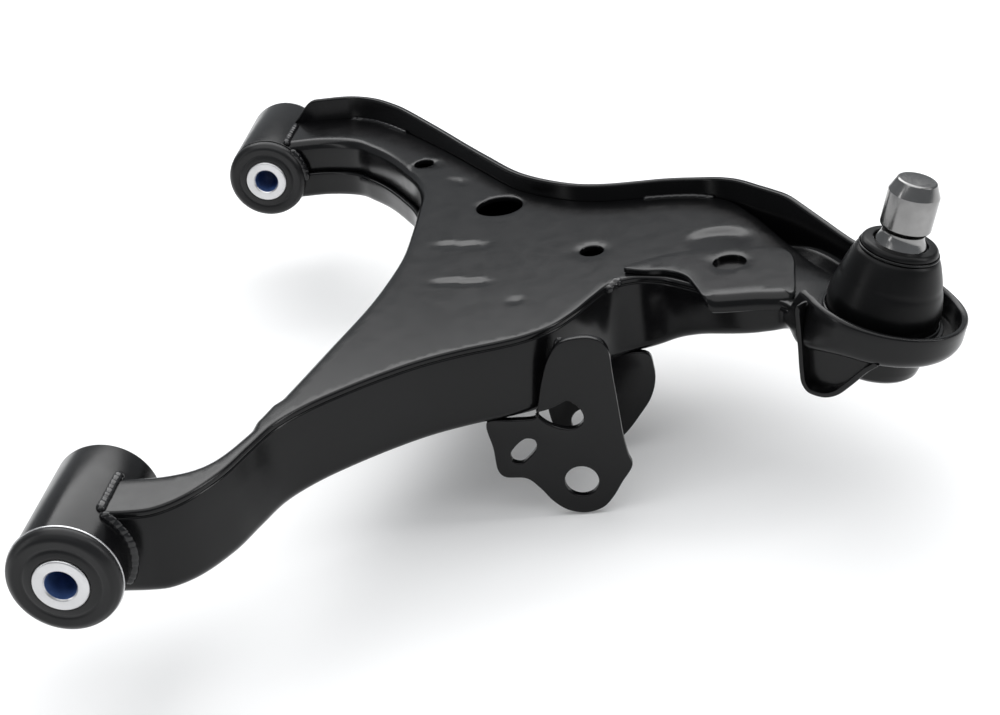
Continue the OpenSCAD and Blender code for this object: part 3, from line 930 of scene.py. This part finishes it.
weld("front_weld_top", [(15.2, -16.5, 20.1), (15.4, -4, 20.2), (15.5, 8, 20.2), (16, 15.5, 20.0)],
     2.5, "front_bush_weld", up=(0.6, 0, 0.8))
weld("front_weld_side", around(0, 25.4, -17.9, 38, 132), 2.9, up=(0.3, -0.9, 0), seed=3)
weld("front_weld_inner", around(0, 25.2, 17.6, 60, 130), 2.3, up=(0.3, 0.9, 0), seed=4)
weld("rear_weld_top", [(15, 407, 20), (15.2, 425, 20), (16, 441, 20)], 2.4, "rear_bush_weld",
     up=(0.6, 0, 0.8), seed=5)
weld("rear_weld_side", around(REAR_Y, 24.7, -36.2, 46, 100), 2.5, up=(0.3, -0.9, 0), seed=6)
weld("rear_weld_far", [(22, 447.5, 12), (23, 447.6, 20), (24, 447.4, 27)], 2.3, up=(-1, 0, 0), seed=7)
weld("lug_weld_run", [(198.6, 118.2, -6), (201.5, 118.8, 3), (204.5, 119.5, 11), (206.6, 120.3, 15.6)],
     2.5, "lug_weld", up=(0, -1, 0.2), seed=8)
for key, lo, hi in (("rear", 52, 96), ("outer", 236, 286)):
    seam = [i for i in range(N) if SIDE[i] == 2 and lo < LX[i] < hi]
    weld("rim_weld_" + key, [(LX[i] + NRM[i, 0] * 4.6, LY[i] + NRM[i, 1] * 4.6, 20.0) for i in seam[::3]],
         1.8, up=(0, -0.3, 1), pitch=5.0, seed=11)
weld("saddle_weld_run", [(226.5, 163.5, 17), (230.5, 168.6, 18.2), (234.6, 172.2, 19.4)], 2.9,
     "saddle_weld", up=(-0.5, -0.7, 0.6), seed=9)
weld("stop_weld_run", [(327.1, 103.4, 12.0), (335.6, 98, 10.2), (344, 92.6, 7.6)], 1.8, "stop_weld",
     up=(0, -1, 0), seed=10)

# ---------------------------------------------------------------- floor and light
lowest = float(CAD_BOX[0][2])
bpy.ops.mesh.primitive_plane_add(size=12, location=(0.2, 0.2, lowest - 0.0005))
floor = bpy.context.object
floor.name = "studio_floor"
mf, nt, bsdf = mat("studio_floor")
v = coords(nt)
nt.links.new(ramp(nt, noise(nt, v, 3.0), (0.80, 0.80, 0.80, 1), (0.82, 0.82, 0.82, 1)),
             bsdf.inputs["Base Color"])
bsdf.inputs["Roughness"].default_value = 0.9
bsdf.inputs["Specular IOR Level"].default_value = 0.1
bsdf.inputs["Emission Color"].default_value = (1, 1, 1, 1)
bsdf.inputs["Emission Strength"].default_value = 0.14
floor.data.materials.append(mf)

world = bpy.data.worlds.new("studio")
scene.world = world
world.use_nodes = True
bg = world.node_tree.nodes["Background"]
bg.inputs["Color"].default_value = (0.92, 0.96, 1.0, 1)
bg.inputs["Strength"].default_value = 0.34


def area(name, loc, target, sx, sy, power, color=(1, 1, 1)):
    d = bpy.data.lights.new(name, "AREA")
    d.shape = "RECTANGLE"
    d.size, d.size_y = sx, sy
    d.energy = power
    d.color = color
    ob = bpy.data.objects.new(name, d)
    scene.collection.objects.link(ob)
    ob.location = loc
    ob.rotation_mode = "QUATERNION"
    ob.rotation_quaternion = (Vector(target) - Vector(loc)).to_track_quat("-Z", "Y")
    return ob


mid = (0.2, 0.18, 0.0)
area("top_box", (0.2, 0.0, 2.2), (0.2, 0.0, 0.0), 3.0, 3.0, 46)
area("back_box", (0.1, 1.55, 1.35), (0.15, 0.2, 0.0), 2.4, 0.95, 26)
area("strip_left", (-1.1, -0.5, 0.6), mid, 0.18, 1.1, 2)
area("strip_right", (1.5, 0.1, 0.8), mid, 0.22, 1.1, 6)

scene.view_settings.view_transform = "Standard"
scene.view_settings.look = "None"
scene.view_settings.exposure = 0.0

bpy.context.view_layer.update()
